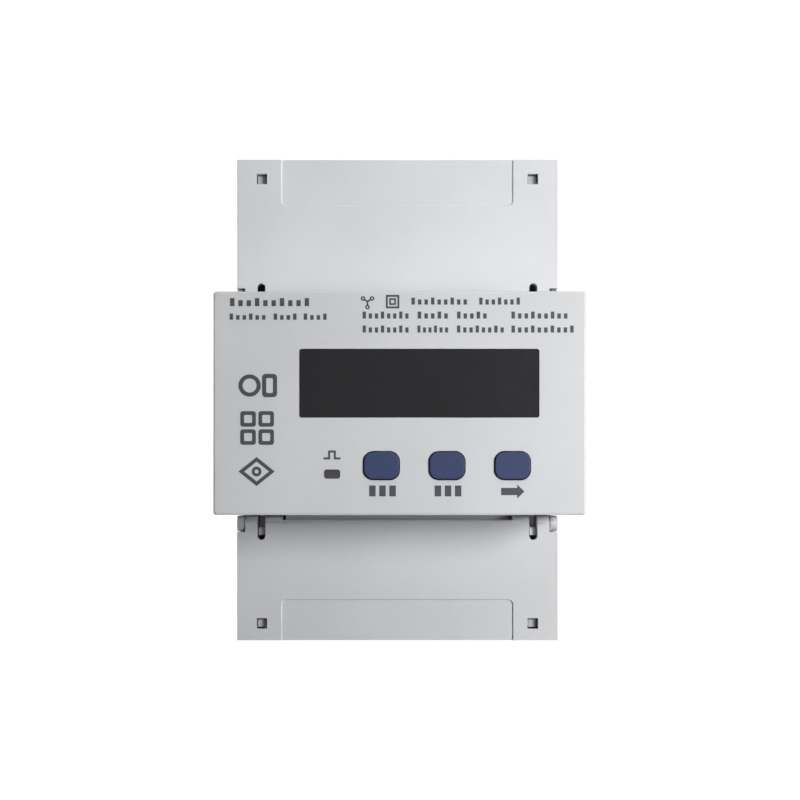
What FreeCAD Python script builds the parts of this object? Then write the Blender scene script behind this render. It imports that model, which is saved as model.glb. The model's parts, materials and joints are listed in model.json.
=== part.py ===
"""Four-module DIN-rail electricity meter, drawn as an assembly of separate pieces.

Row frame: +X to the right, +Z up, and the front faces -Y. The origin is the centre of the
face that rests on the DIN rail, so a place in front of the rail has a negative Y.
All lengths are in millimetres.
"""
import FreeCAD
import Part
import Sketcher
import math
import os
import re

Vector = FreeCAD.Vector

# Driving dimensions: each becomes a named cell of the spreadsheet.
SIZES = {
    # outside of the meter
    "bezel_width": 72.0,
    "bezel_height": 43.2,
    "bezel_front": 57.6,
    "case_width": 66.7,
    "upper_end": 52.1,
    "lower_end": 47.9,
    "leg_depth": 7.5,
    "parting": 26.0,
    "rim": 24.0,
    "case_wall": 2.0,
    "end_wall": 3.0,
    # rail seat and hooks: a 35 mm rail with 1 mm flanges
    "channel_height": 35.3,
    "seat_relief": 0.4,
    "seat_width": 66.0,
    "seat_height": 30.2,
    "hook_gap": 1.4,
    "hook_depth": 1.8,
    "hook_reach": 2.25,
    "hook_inner": 8.0,
    "hook_outer": 24.0,
    # overlap that joins one feature to the next
    "merge": 0.1,
    # front shell
    "bezel_wall": 1.8,
    "corner_radius": 0.6,
    "front_round": 0.4,
    "opening_radius": 0.5,
    "boss_radius": 3.2,
    "boss_x": 31.6,
    "boss_z": 11.5,
    "boss_front": 40.0,
    "boss_cap": 1.5,
    "thread_radius": 1.5,
    "screw_hole": 1.7,
    "head_well": 3.05,
    "well_depth": 3.0,
    "main_post_z": 16.8,
    "board_post_x": 29.0,
    "board_post_z": 16.5,
    "board_post_radius": 2.0,
    # display opening, measured on the front face
    "display_left": -19.4,
    "display_right": 27.0,
    "display_low": -2.8,
    "display_top": 10.5,
    # push buttons
    "button_first": -3.5,
    "button_pitch": 12.65,
    "button_z": -12.07,
    "button_width": 6.95,
    "button_height": 5.45,
    "button_radius": 1.9,
    "button_front": 58.0,
    "button_round": 0.3,
    "button_play": 0.12,
    "flange_rim": 1.1,
    "flange_front": 55.5,
    "flange_rear": 54.7,
    "stem_radius": 1.5,
    "stem_rear": 53.9,
    "plunger_radius": 1.6,
    "plunger_rear": 50.9,
    "plunger_play": 0.08,
    "switch_size": 6.0,
    "switch_front": 52.6,
    "switch_floor": 50.0,
    # pulse light
    "light_x": -13.05,
    "light_z": -13.7,
    "light_width": 3.13,
    "light_height": 1.78,
    "light_radius": 0.45,
    "light_recess": 0.15,
    "light_play": 0.05,
    "light_flange": 0.8,
    "light_rear": 51.0,
    "led_width": 3.0,
    "led_height": 1.6,
    "led_front": 50.5,
    # display stack
    "window_rim": 1.3,
    "window_rear": 55.0,
    "window_inset": 0.1,
    "window_play": 0.05,
    "rim_radius": 1.0,
    "panel_width": 50.0,
    "panel_height": 17.0,
    "panel_front": 54.7,
    "panel_rear": 52.7,
    "panel_play": 0.1,
    "frame_width": 53.0,
    "frame_height": 19.4,
    "backlight_width": 46.0,
    "backlight_height": 12.0,
    "backlight_rear": 50.6,
    "strip_length": 44.0,
    "strip_width": 1.6,
    "strip_offset": 7.4,
    # terminal covers
    "cover_front": 38.0,
    "cover_side": 1.5,
    "cover_seat_gap": 0.3,
    "hinge_z": 23.6,
    "hinge_y": 36.4,
    "knuckle_radius": 1.6,
    "pin_radius": 0.9,
    "pin_play": 0.05,
    "pin_reach": 1.95,
    "ear_root": 0.5,
    "notch_width": 1.7,
    "notch_end": 25.37,
    "slot_x": 28.3,
    "slot_width": 1.7,
    "upper_slot_end": 25.55,
    "lower_slot_end": 26.15,
    "latch_x": 28.2,
    "latch_window": 2.2,
    "upper_window_inset": 4.0,
    "lower_window_inset": 3.5,
    "label_width": 48.0,
    "label_depth": 0.25,
    "label_soft": 0.2,
    "label_radius": 1.0,
    "upper_label_inset": 9.5,
    "lower_label_inset": 8.4,
    "middle_gap": 1.3,
    "wire_gap_width": 40.0,
    "wire_gap_depth": 4.0,
    # tongues that enter the covers' slots, and the lip behind the covers' middle
    "tongue_width": 1.2,
    "tongue_front": 34.5,
    "tongue_depth": 1.3,
    "upper_tongue_end": 24.8,
    "lower_tongue_end": 26.0,
    "nose_height": 1.6,
    "nose_front": 36.8,
    "lip_width": 46.8,
    "lip_end": 24.2,
    # terminals
    "terminal_pitch": 16.0,
    "terminal_inset": 9.5,
    "entry_radius": 4.5,
    "entry_y": -6.8,
    "block_front": 26.0,
    "block_rear": 0.4,
    "block_inner": 21.9,
    "block_play": 0.2,
    "block_wall": 1.8,
    "block_floor": 1.0,
    "terminal_floor": 0.2,
    "bar_play": 0.3,
    "bar_hole_play": 0.4,
    "latch_width": 1.8,
    "latch_height": 1.7,
    "latch_gap": 1.1,
    "upper_latch_inset": 4.0,
    "lower_latch_inset": 3.5,
    "fence_width": 0.9,
    "fence_height": 2.0,
    "cell_width": 12.0,
    "cell_front": 20.9,
    "cell_length": 11.9,
    "screw_radius": 2.5,
    "head_radius": 3.3,
    "head_front": 25.2,
    "head_rear": 22.0,
    "head_play": 0.3,
    "slot_depth": 1.6,
    "slot_length": 4.4,
    "cross_width": 1.1,
    "thread_play": 0.05,
    "screw_tip": 12.6,
    "cage_width": 11.4,
    "cage_inner_width": 8.6,
    "cage_length": 8.4,
    "cage_front": 14.6,
    "cage_rear": 1.9,
    "cage_top_wall": 2.1,
    "cage_floor": 1.4,
    "bar_width": 8.0,
    "bar_front": 12.2,
    "bar_rear": 10.2,
    "bar_end": 5.2,
    "tap_radius": 0.7,
    "tap_z": 12.5,
    # auxiliary signal terminals
    "aux_length": 41.2,
    "aux_front": 34.5,
    "aux_inner": 24.6,
    "aux_outer": 32.8,
    "aux_pitch": 5.0,
    "aux_z": 28.3,
    "aux_well_radius": 1.75,
    "aux_well_rear": 31.5,
    "aux_head_radius": 1.6,
    "aux_head_front": 33.8,
    "aux_slot_rear": 33.0,
    "aux_slot_width": 0.6,
    "aux_mouth_width": 3.6,
    "aux_mouth_front": 30.9,
    "aux_mouth_rear": 27.3,
    "aux_mouth_inner": 26.0,
    # case screws
    "case_head_radius": 2.9,
    "case_head_rear": 0.9,
    "case_tip_gap": 2.0,
    "cross_length": 3.6,
    "case_cross_width": 0.8,
    "case_cross_depth": 1.9,
    # rail clip and its spring
    "clip_width": 16.0,
    "clip_tongue": 12.0,
    "clip_gap": 0.3,
    "clip_front": 1.4,
    "clip_step": 4.6,
    "clip_rear": 7.2,
    "clip_tail": 47.4,
    "clip_track": 1.0,
    "clip_edge_gap": 0.25,
    "clip_top": 20.0,
    "clip_hand_length": 3.4,
    "clip_hand_step": 0.8,
    "clip_slot_width": 6.0,
    "clip_slot_end": 6.0,
    "clip_pry_near": 1.4,
    "clip_pry_far": 4.0,
    "spring_post_width": 4.8,
    "spring_post_height": 2.7,
    "spring_post_front": 0.9,
    "spring_post_rear": 6.0,
    "spring_seat": 34.6,
    "spring_top": 22.3,
    "spring_y": 3.9,
    "spring_radius": 2.0,
    "wire_radius": 0.3,
    "spring_turns": 6.0,
    # circuit boards
    "main_front": 25.2,
    "main_rear": 23.6,
    "main_width": 54.6,
    "main_height": 38.6,
    "display_board_front": 49.1,
    "display_board_rear": 47.5,
    "display_board_width": 62.0,
    "display_board_height": 37.0,
    "board_corner": 1.0,
    "board_hole": 1.0,
    "board_head_radius": 1.8,
    "board_head_rear": 46.2,
    "header_length": 26.0,
    "header_width": 2.5,
    "header_z": -16.5,
    "header_pin": 0.32,
    "pin_pitch": 2.54,
    # mains transformer on the main board
    "core_x": 14.0,
    "core_z": 5.0,
    "core_width": 18.0,
    "core_height": 7.0,
    "core_front": 42.0,
    "core_rear": 28.0,
    "yoke": 3.2,
    "window_width": 3.0,
    "leg_width": 5.0,
    "coil_height": 16.0,
    "coil_play": 0.1,
    "base_width": 15.0,
    "base_height": 18.0,
    # suppression discs on the main board
    "disc_radius": 4.6,
    "disc_thickness": 3.6,
    "disc_y": -31.8,
    "disc_z": 13.0,
    "disc_first": -23.0,
    "disc_pitch": 7.5,
    "lead_radius": 0.4,
    "lead_offset": 2.5,
    # current transformers
    "ring_outer": 7.5,
    "ring_inner": 4.6,
    "ring_height": 9.0,
    "ring_y": -11.2,
    "ring_head_width": 9.0,
    "ring_head_front": 20.0,
    "ring_head_root": 4.5,
}

# Local drawing axes of each sketch plane, and the row axis that it faces.
PLANES = {"Y": "XZ_Plane", "X": "YZ_Plane", "Z": "XY_Plane"}

# How near an edge lies to a face to count as on it.
TOUCH = 0.01

doc = FreeCAD.newDocument("ElectricityMeter")
sheet = doc.addObject("Spreadsheet::Sheet", "Sizes")
parts = {}


def fill_sheet():
    """Write every driving dimension to a cell of its own, with its name beside it."""
    for row, (alias, value) in enumerate(SIZES.items(), start=1):
        sheet.set(f"A{row}", alias)
        sheet.set(f"B{row}", str(value))
        sheet.setAlias(f"B{row}", alias)
    doc.recompute()


def bound(text):
    """Turn names of sizes in a formula into references to the spreadsheet."""
    def reference(match):
        word = match.group()
        return f"Sizes.{word}" if word in SIZES else word
    return re.sub(r"[A-Za-z_]+", reference, str(text))


def negative(text):
    return f"-({text})"


def across(width, centre="0"):
    """Low and high edge of a width about a centre."""
    return f"({centre}) - ({width}) / 2", f"({centre}) + ({width}) / 2"


def zone(side, inner, outer):
    """Low and high Z of a stretch on the upper (+1) or lower (-1) half of the meter."""
    if side > 0:
        return inner, outer
    return negative(outer), negative(inner)


def own(side, name):
    """Name of a size that the upper and the lower half each have."""
    return f"{'upper' if side > 0 else 'lower'}_{name}"


def signed(side, text):
    return text if side > 0 else negative(text)


# --- sketches and the prisms made from them -------------------------------------------

def new_body(label):
    body = doc.addObject("PartDesign::Body", label)
    body.Label = label
    parts[label] = body
    return body


def new_sketch(body, axis, offset):
    """Sketch on the body's own plane that faces the axis, at a place along it."""
    plane = next(p for p in body.Origin.OriginFeatures if p.Role == PLANES[axis])
    sketch = body.newObject("Sketcher::SketchObject", "Sketch")
    sketch.AttachmentSupport = [(plane, "")]
    sketch.MapMode = "FlatFace"
    sign = "-" if axis == "Y" else ""
    sketch.setExpression("AttachmentOffset.Base.z", bound(f"{sign}({offset})"))
    return sketch


def constrain(sketch, kind, *places, size=None):
    """Add one constraint; a size is bound to the spreadsheet."""
    if size is None:
        return sketch.addConstraint(Sketcher.Constraint(kind, *places))
    index = sketch.addConstraint(Sketcher.Constraint(kind, *places, sketch.evalExpression(bound(size))))
    name = f"size{index}"
    sketch.renameConstraint(index, name)
    sketch.setExpression(f"Constraints.{name}", bound(size))
    return index


def value(text):
    return float(sheet.evalExpression(bound(text).replace("Sizes.", "")))


def draw_rectangle(sketch, left, right, low, high):
    x0, x1, y0, y1 = (value(v) for v in (left, right, low, high))
    corners = [Vector(x0, y0), Vector(x1, y0), Vector(x1, y1), Vector(x0, y1)]
    first = sketch.GeometryCount
    for i in range(4):
        sketch.addGeometry(Part.LineSegment(corners[i], corners[(i + 1) % 4]))
    for i in range(4):
        constrain(sketch, "Coincident", first + i, 2, first + (i + 1) % 4, 1)
        constrain(sketch, "Horizontal" if i % 2 == 0 else "Vertical", first + i)
    constrain(sketch, "DistanceX", -1, 1, first, 1, size=left)
    constrain(sketch, "DistanceY", -1, 1, first, 1, size=low)
    constrain(sketch, "DistanceX", -1, 1, first + 1, 2, size=right)
    constrain(sketch, "DistanceY", -1, 1, first + 1, 2, size=high)


def draw_rounded(sketch, left, right, low, high, radius):
    """Rectangle with four equal round corners, each tangent to its two sides."""
    x0, x1, y0, y1, r = (value(v) for v in (left, right, low, high, radius))
    centres = [(x1 - r, y0 + r), (x1 - r, y1 - r), (x0 + r, y1 - r), (x0 + r, y0 + r)]
    sides = [((x0 + r, y0), (x1 - r, y0)), ((x1, y0 + r), (x1, y1 - r)),
             ((x1 - r, y1), (x0 + r, y1)), ((x0, y1 - r), (x0, y0 + r))]
    first = sketch.GeometryCount
    for i in range(4):
        start, end = sides[i]
        sketch.addGeometry(Part.LineSegment(Vector(*start), Vector(*end)))
        circle = Part.Circle(Vector(*centres[i]), Vector(0, 0, 1), r)
        turn = -math.pi / 2 + i * math.pi / 2
        sketch.addGeometry(Part.ArcOfCircle(circle, turn, turn + math.pi / 2))
    for i in range(4):
        side, arc, following = first + 2 * i, first + 2 * i + 1, first + (2 * i + 2) % 8
        constrain(sketch, "Horizontal" if i % 2 == 0 else "Vertical", side)
        constrain(sketch, "Tangent", side, 2, arc, 1)
        constrain(sketch, "Tangent", arc, 2, following, 1)
        if i:
            constrain(sketch, "Equal", first + 1, arc)
    constrain(sketch, "Radius", first + 1, size=radius)
    constrain(sketch, "DistanceY", -1, 1, first, 1, size=low)
    constrain(sketch, "DistanceX", -1, 1, first + 2, 1, size=right)
    constrain(sketch, "DistanceY", -1, 1, first + 4, 1, size=high)
    constrain(sketch, "DistanceX", -1, 1, first + 6, 1, size=left)


def draw_circle(sketch, x, y, radius):
    circle = Part.Circle(Vector(value(x), value(y)), Vector(0, 0, 1), value(radius))
    index = sketch.addGeometry(circle)
    constrain(sketch, "DistanceX", -1, 1, index, 3, size=x)
    constrain(sketch, "DistanceY", -1, 1, index, 3, size=y)
    constrain(sketch, "Radius", index, size=radius)


DRAW = {"rectangle": draw_rectangle, "rounded": draw_rounded, "circle": draw_circle}


def prism(body, axis, low, high, *loops, remove=False):
    """Pad or pocket the loops between two places along a row axis.

    A pad grows along the sketch's normal and a pocket cuts against it, so each starts from
    the end that makes the prism fill exactly low to high.
    """
    start_low = remove == (axis == "Y")
    sketch = new_sketch(body, axis, low if start_low else high)
    for kind, *numbers in loops:
        DRAW[kind](sketch, *numbers)
    before = body.Shape.Volume if body.Tip else 0.0
    feature = body.newObject("PartDesign::Pocket" if remove else "PartDesign::Pad", "Feature")
    feature.Profile = sketch
    feature.setExpression("Length", bound(f"({high}) - ({low})"))
    doc.recompute()
    if (body.Shape.Volume < before) != remove:
        raise RuntimeError(f"{body.Label}: a {feature.TypeId} did not change the volume as meant")
    return feature


def cut(body, axis, low, high, *loops):
    return prism(body, axis, low, high, *loops, remove=True)


def round_edges(body, radius, chosen):
    """Fillet the edges for which chosen(edge) is true."""
    base = body.Tip
    names = [f"Edge{i}" for i, edge in enumerate(base.Shape.Edges, start=1) if chosen(edge)]
    fillet = body.newObject("PartDesign::Fillet", "Fillet")
    fillet.Base = (base, names)
    fillet.setExpression("Radius", bound(radius))
    doc.recompute()
    return fillet


def mirrored(kind, low, high, *rest):
    """The same loop on the right and on the left."""
    return (kind, low, high, *rest), (kind, negative(high), negative(low), *rest)


# --- plain solids ----------------------------------------------------------------------

def block(name, x, y, z):
    """Box between low and high on each axis."""
    box = doc.addObject("Part::Box", name)
    for side, axis, (low, high) in zip(("Length", "Width", "Height"), "xyz", (x, y, z)):
        box.setExpression(side, bound(f"({high}) - ({low})"))
        box.setExpression(f"Placement.Base.{axis}", bound(low))
    return box


TURN = {"X": (Vector(0, 1, 0), 90), "Y": (Vector(1, 0, 0), -90), "Z": (Vector(0, 0, 1), 0)}


def rod(name, axis, radius, low, high, place):
    """Cylinder along a row axis between low and high; place holds its two other coordinates."""
    cylinder = doc.addObject("Part::Cylinder", name)
    cylinder.Placement = FreeCAD.Placement(Vector(), FreeCAD.Rotation(*TURN[axis]))
    cylinder.setExpression("Radius", bound(radius))
    cylinder.setExpression("Height", bound(f"({high}) - ({low})"))
    others = iter(place)
    for letter in "xyz":
        formula = low if letter.upper() == axis else next(others)
        cylinder.setExpression(f"Placement.Base.{letter}", bound(formula))
    return cylinder


def fuse(name, *solids):
    joined = doc.addObject("Part::MultiFuse", name)
    joined.Shapes = list(solids)
    return joined


def take(name, base, *tools):
    """The base with every tool taken out of it."""
    result = doc.addObject("Part::Cut", name)
    result.Base = base
    result.Tool = tools[0] if len(tools) == 1 else fuse(f"{name}_tools", *tools)
    return result


def group(name, *solids):
    """Separate solids kept in one node."""
    compound = doc.addObject("Part::Compound", name)
    compound.Links = list(solids)
    return compound


def keep(label, shape):
    shape.Label = label
    parts[label] = shape
    return shape


# --- housing ---------------------------------------------------------------------------

def terminal_places():
    """X of the four main terminals, from left to right."""
    return [f"({i} - 1.5) * terminal_pitch" for i in range(4)]


def corners(x, z):
    return [(signed(i, x), signed(j, z)) for i in (1, -1) for j in (1, -1)]


def rear_case():
    body = new_body("rear_case")
    half_case = across("case_width")
    prism(body, "Y", negative("parting"), "-seat_relief",
          ("rectangle", *across("bezel_width"), *across("bezel_height")))
    prism(body, "Y", negative("rim"), "-seat_relief",
          ("rectangle", *half_case, "-lower_end", "upper_end"))
    legs = [("rectangle", *half_case, *zone(side, "channel_height / 2", own(side, "end")))
            for side in (1, -1)]
    prism(body, "Y", "-seat_relief", "leg_depth", *legs)
    prism(body, "Y", "-seat_relief", "0", ("rectangle", *across("seat_width"), *across("seat_height")))
    cut(body, "Y", "-parting", "-seat_relief - case_wall",
        ("rectangle", *across("bezel_width - 2 * case_wall"), *across("bezel_height - 2 * case_wall")))
    for side in (1, -1):
        terminal_end(body, side)
    screw_posts(body)
    clip_channel(body)
    rail_hooks(body)


def terminal_end(body, side):
    """Open box at one end of the rear case, with cable entries, leg hollows and hinge ears."""
    end = own(side, "end")
    inside = zone(side, "bezel_height / 2", f"{end} - end_wall")
    cut(body, "Y", "-rim", "-terminal_floor",
        ("rectangle", *across("case_width - 2 * case_wall"), *inside))
    cut(body, "Y", "-terminal_floor", "leg_depth - case_wall",
        *mirrored("rectangle", "clip_width / 2 + case_wall + clip_gap", "case_width / 2 - case_wall",
                  *inside))
    cut(body, "Z", *zone(side, f"{end} - end_wall", end),
        *[("circle", x, "entry_y", "entry_radius") for x in terminal_places()])
    cut(body, "Z", *zone(side, "bezel_height / 2 - case_wall", "bezel_height / 2"),
        *[("rectangle", *across("bar_width + 2 * bar_hole_play", x),
           "-bar_front - bar_hole_play", "-bar_rear + bar_hole_play") for x in terminal_places()])
    hinge_z = signed(side, "hinge_z")
    ear_x = ("case_width / 2 - cover_side", "case_width / 2")
    for low, high in (ear_x, (negative(ear_x[1]), negative(ear_x[0]))):
        prism(body, "X", low, high,
              ("rectangle", "-hinge_y", "-rim + ear_root", *across("2 * knuckle_radius", hinge_z)))
        prism(body, "X", low, high, ("circle", "-hinge_y", hinge_z, "knuckle_radius"))
    pin = (f"{ear_x[0]} - pin_reach", f"{ear_x[0]} + merge")
    for low, high in (pin, (negative(pin[1]), negative(pin[0]))):
        prism(body, "X", low, high, ("circle", "-hinge_y", hinge_z, "pin_radius"))


def screw_posts(body):
    """Hollow posts for the case screws, and solid ones that carry the main board."""
    places = corners("boss_x", "boss_z")
    floor = "-seat_relief - case_wall + merge"
    board_posts = corners("terminal_pitch", "main_post_z")
    prism(body, "Y", "-parting", floor, *[("circle", x, z, "boss_radius") for x, z in places])
    prism(body, "Y", "-main_rear", floor, *[("circle", x, z, "board_post_radius") for x, z in board_posts])
    cut(body, "Y", "-parting", "-well_depth", *[("circle", x, z, "screw_hole") for x, z in places])
    cut(body, "Y", "-well_depth", "0", *[("circle", x, z, "head_well") for x, z in places])


def clip_channel(body):
    """T-shaped track for the rail clip in the lower leg, with the post its spring rests on."""
    span = ("-lower_end", "-channel_height / 2")
    cut(body, "Z", *span,
        ("rectangle", *across("clip_width + 2 * clip_gap"), "clip_track", "clip_step + clip_gap"))
    cut(body, "Z", *span, ("rectangle", *across("clip_tongue + 2 * clip_gap"), "clip_step", "leg_depth"))
    prism(body, "Z", "-spring_seat - spring_post_height", "-spring_seat",
          ("rectangle", *across("spring_post_width"), "spring_post_front", "spring_post_rear"))


def rail_hooks(body):
    """Two fixed hooks that reach behind the rail's upper flange."""
    top = "channel_height / 2"
    prism(body, "Y", "hook_gap", "hook_gap + hook_depth",
          *mirrored("rectangle", "hook_inner", "hook_outer", f"{top} - hook_reach", f"{top} + merge"))


def front_case():
    body = new_body("front_case")
    prism(body, "Y", "-bezel_front", "-parting",
          ("rounded", *across("bezel_width"), *across("bezel_height"), "corner_radius"))
    front = -SIZES["bezel_front"]
    round_edges(body, "front_round", lambda e: e.BoundBox.YMax < front + TOUCH)
    cut(body, "Y", "-bezel_front + bezel_wall", "-parting",
        ("rectangle", *across("bezel_width - 2 * bezel_wall"), *across("bezel_height - 2 * bezel_wall")))
    cut(body, "Y", "-bezel_front", "-bezel_front + bezel_wall",
        ("rounded", "display_left", "display_right", "display_low", "display_top", "opening_radius"),
        ("rounded", *across("light_width", "light_x"), *across("light_height", "light_z"), "opening_radius"),
        *[("rounded", *across("button_width + 2 * button_play", x),
           *across("button_height + 2 * button_play", "button_z"), "button_radius + button_play")
          for x in button_places()])
    places = corners("boss_x", "boss_z")
    prism(body, "Y", "-boss_front", "-parting", *[("circle", x, z, "boss_radius") for x, z in places])
    cut(body, "Y", "-boss_front + boss_cap", "-parting",
        *[("circle", x, z, "thread_radius") for x, z in places])
    prism(body, "Y", "-bezel_front + bezel_wall - merge", "-display_board_front",
          *[("circle", x, z, "board_post_radius") for x, z in corners("board_post_x", "board_post_z")])
    for side in (1, -1):
        hinge_tongues(body, side)


def hinge_tongues(body, side):
    """Two hooked tongues for a cover's slots, and the lip that closes the gap between them."""
    root = "bezel_height / 2 - merge"
    end = own(side, "tongue_end")
    tongue = across("tongue_width", "slot_x")
    depth = ("-tongue_front", "-tongue_front + tongue_depth")
    prism(body, "Y", *depth, *mirrored("rectangle", *tongue, *zone(side, root, end)))
    prism(body, "Y", "-nose_front", "-tongue_front + merge",
          *mirrored("rectangle", *tongue, *zone(side, f"{end} - nose_height", end)))
    prism(body, "Y", *depth, ("rectangle", *across("lip_width"), *zone(side, root, "lip_end")))


def button_places():
    return [f"button_first + {i} * button_pitch" for i in range(3)]


def terminal_cover(label, side):
    """Hinged lid over one row of terminals: a plate with two sides and an outer end."""
    body = new_body(label)
    end = own(side, "end")
    wide = across("case_width")
    narrow = across("case_width - 2 * notch_width")
    lid = zone(side, "notch_end", end)
    prism(body, "Y", "-cover_front", "-hinge_y",
          ("rectangle", *narrow, *zone(side, "hinge_z", "notch_end + merge")))
    prism(body, "Y", "-cover_front", "-rim - cover_seat_gap", ("rectangle", *wide, *lid))
    cut(body, "Y", "-hinge_y", "-rim - cover_seat_gap",
        ("rectangle", *across("case_width - 2 * cover_side"),
         *zone(side, "notch_end", f"{end} - cover_side")))
    prism(body, "X", *narrow, ("circle", "-hinge_y", signed(side, "hinge_z"), "knuckle_radius"))
    hinge_bores(body, side)
    cut(body, "Y", "-cover_front", "-hinge_y + knuckle_radius",
        ("rectangle", *across("label_width"),
         *zone(side, "hinge_z - knuckle_radius", "bezel_height / 2 + middle_gap")))
    slot_end = own(side, "slot_end")
    cut(body, "Y", "-cover_front", "-hinge_y + knuckle_radius",
        *mirrored("rectangle", *across("slot_width", "slot_x"),
                  *zone(side, "hinge_z - knuckle_radius", slot_end)))
    cut(body, "Y", "-cover_front", "-hinge_y",
        *[("circle", signed(s, "slot_x"), signed(side, slot_end), "slot_width / 2") for s in (1, -1)])
    window_z = signed(side, f"{end} - {own(side, 'window_inset')}")
    cut(body, "Y", "-cover_front", "-hinge_y",
        *mirrored("rectangle", *across("latch_window", "latch_x"), *across("latch_window", window_z)))
    label_inner = f"{end} - {own(side, 'label_inset')}"
    cut(body, "Y", "-cover_front", "-cover_front + label_depth",
        ("rounded", *across("label_width"), *zone(side, label_inner, f"{end} + 2 * label_radius"),
         "label_radius"))
    round_edges(body, "label_soft", lambda edge: on_label_rim(edge, side))
    if side > 0:
        cut(body, "Y", "-rim - cover_seat_gap - wire_gap_depth", "-rim - cover_seat_gap",
            ("rectangle", *across("wire_gap_width"), f"{end} - cover_side", end))


def on_label_rim(edge, side):
    """Whether an edge is where the cover's front face drops into the label recess."""
    box = edge.BoundBox
    inner = SIZES[own(side, "end")] - SIZES[own(side, "label_inset")]
    return (box.YMax < TOUCH - SIZES["cover_front"]
            and max(-box.XMin, box.XMax) < SIZES["label_width"] / 2 + TOUCH
            and min(side * box.ZMin, side * box.ZMax) > inner - TOUCH)


def hinge_bores(body, side):
    """Blind bores in the ends of the cover's barrel for the ears' pins."""
    outer = "case_width / 2 - notch_width"
    bore = (f"{outer} - pin_reach", outer)
    for low, high in (bore, (negative(bore[1]), negative(bore[0]))):
        cut(body, "X", low, high,
            ("circle", "-hinge_y", signed(side, "hinge_z"), "pin_radius + pin_play"))


def terminal_block(label, side):
    """Insulating block with four cells for the clamps, and the two latch posts."""
    body = new_body(label)
    end = own(side, "end")
    outer = f"{end} - end_wall - block_play"
    inner_wall = f"{outer} - cell_length"
    prism(body, "Y", "-block_front", "-block_rear",
          ("rectangle", *across("case_width - 2 * case_wall - 2 * block_play"),
           *zone(side, "block_inner", outer)))
    cut(body, "Y", "-cell_front", "-block_rear - block_floor",
        *[("rectangle", *across("cell_width", x), *zone(side, inner_wall, outer)) for x in terminal_places()])
    screw_z = signed(side, f"{end} - terminal_inset")
    cut(body, "Y", "-block_front", "-head_rear + head_play",
        *[("circle", x, screw_z, "head_radius + head_play") for x in terminal_places()])
    cut(body, "Y", "-head_rear + head_play", "-cell_front",
        *[("circle", x, screw_z, "screw_radius + head_play") for x in terminal_places()])
    cut(body, "Z", *zone(side, "block_inner", inner_wall),
        *[("rectangle", *across("bar_width + 2 * bar_play", x),
           "-bar_front - bar_play", "-bar_rear + bar_play") for x in terminal_places()])
    cut(body, "Y", "-cell_front", "-block_rear",
        ("rectangle", *across("case_width - 2 * case_wall - 2 * block_play - 2 * block_wall"),
         *zone(side, "block_inner + block_wall", f"{inner_wall} - block_wall")))
    latch_z = signed(side, f"{end} - {own(side, 'latch_inset')}")
    prism(body, "Y", "-cover_front + latch_gap", "-block_front",
          *mirrored("rectangle", *across("latch_width", "latch_x"), *across("latch_height", latch_z)))
    prism(body, "Y", "-block_front - fence_height", "-block_front",
          *[("rectangle", *across("fence_width", f"{i} * terminal_pitch"), *zone(side, inner_wall, outer))
            for i in (-1, 0, 1)])


# --- front controls --------------------------------------------------------------------

def push_button(label, x):
    """Cap with a retaining flange behind the bezel, and a stem to the switch."""
    body = new_body(label)
    prism(body, "Y", "-button_front", "-flange_front",
          ("rounded", *across("button_width", x), *across("button_height", "button_z"), "button_radius"))
    front = -SIZES["button_front"]
    round_edges(body, "button_round", lambda e: e.BoundBox.YMax < front + TOUCH)
    prism(body, "Y", "-flange_front", "-flange_rear",
          ("rounded", *across("button_width + 2 * flange_rim", x),
           *across("button_height + 2 * flange_rim", "button_z"), "button_radius"))
    prism(body, "Y", "-flange_rear", "-stem_rear", ("circle", x, "button_z", "stem_radius"))


def buttons_and_switches():
    names = ("set", "esc", "next")
    switches = []
    for name, x in zip(names, button_places()):
        push_button(f"{name}_button", x)
        keep(f"{name}_switch_plunger",
             rod(f"{name}_plunger", "Y", "plunger_radius", "-stem_rear", "-plunger_rear", (x, "button_z")))
        shell = block(f"{name}_shell", across("switch_size", x), ("-switch_front", "-display_board_front"),
                      across("switch_size", "button_z"))
        well = rod(f"{name}_well", "Y", "plunger_radius + plunger_play", "-switch_front - merge",
                   "-switch_floor", (x, "button_z"))
        switches.append(take(f"{name}_switch", shell, well))
    keep("tact_switches", group("switches", *switches))


def display_parts():
    middle_x = "(display_left + display_right) / 2"
    middle_z = "(display_low + display_top) / 2"
    window = new_body("display_window")
    prism(window, "Y", "-bezel_front + bezel_wall", "-window_rear",
          ("rounded", "display_left - window_rim", "display_right + window_rim",
           "display_low - window_rim", "display_top + window_rim", "rim_radius"))
    prism(window, "Y", "-bezel_front + window_inset", "-bezel_front + bezel_wall",
          ("rounded", "display_left + window_play", "display_right - window_play",
           "display_low + window_play", "display_top - window_play", "opening_radius"))
    keep("lcd_panel", block("lcd_glass", across("panel_width", middle_x), ("-panel_front", "-panel_rear"),
                            across("panel_height", middle_z)))
    keep("lcd_backlight", block("backlight", across("backlight_width", middle_x),
                                ("-panel_rear + panel_play", "-backlight_rear"),
                                across("backlight_height", middle_z)))
    frame = block("frame_outer", across("frame_width", middle_x), ("-panel_front", "-display_board_front"),
                  across("frame_height", middle_z))
    inside = block("frame_inner", across("panel_width + 2 * panel_play", middle_x),
                   ("-panel_front - merge", "-display_board_front + merge"),
                   across("panel_height + 2 * panel_play", middle_z))
    keep("lcd_frame", take("lcd_holder", frame, inside))
    strips = [block(f"strip{i}", across("strip_length", middle_x), ("-panel_rear", "-display_board_front"),
                    across("strip_width", f"{middle_z} + {i} * strip_offset")) for i in (1, -1)]
    keep("lcd_contact_strips", group("strips", *strips))


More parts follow.
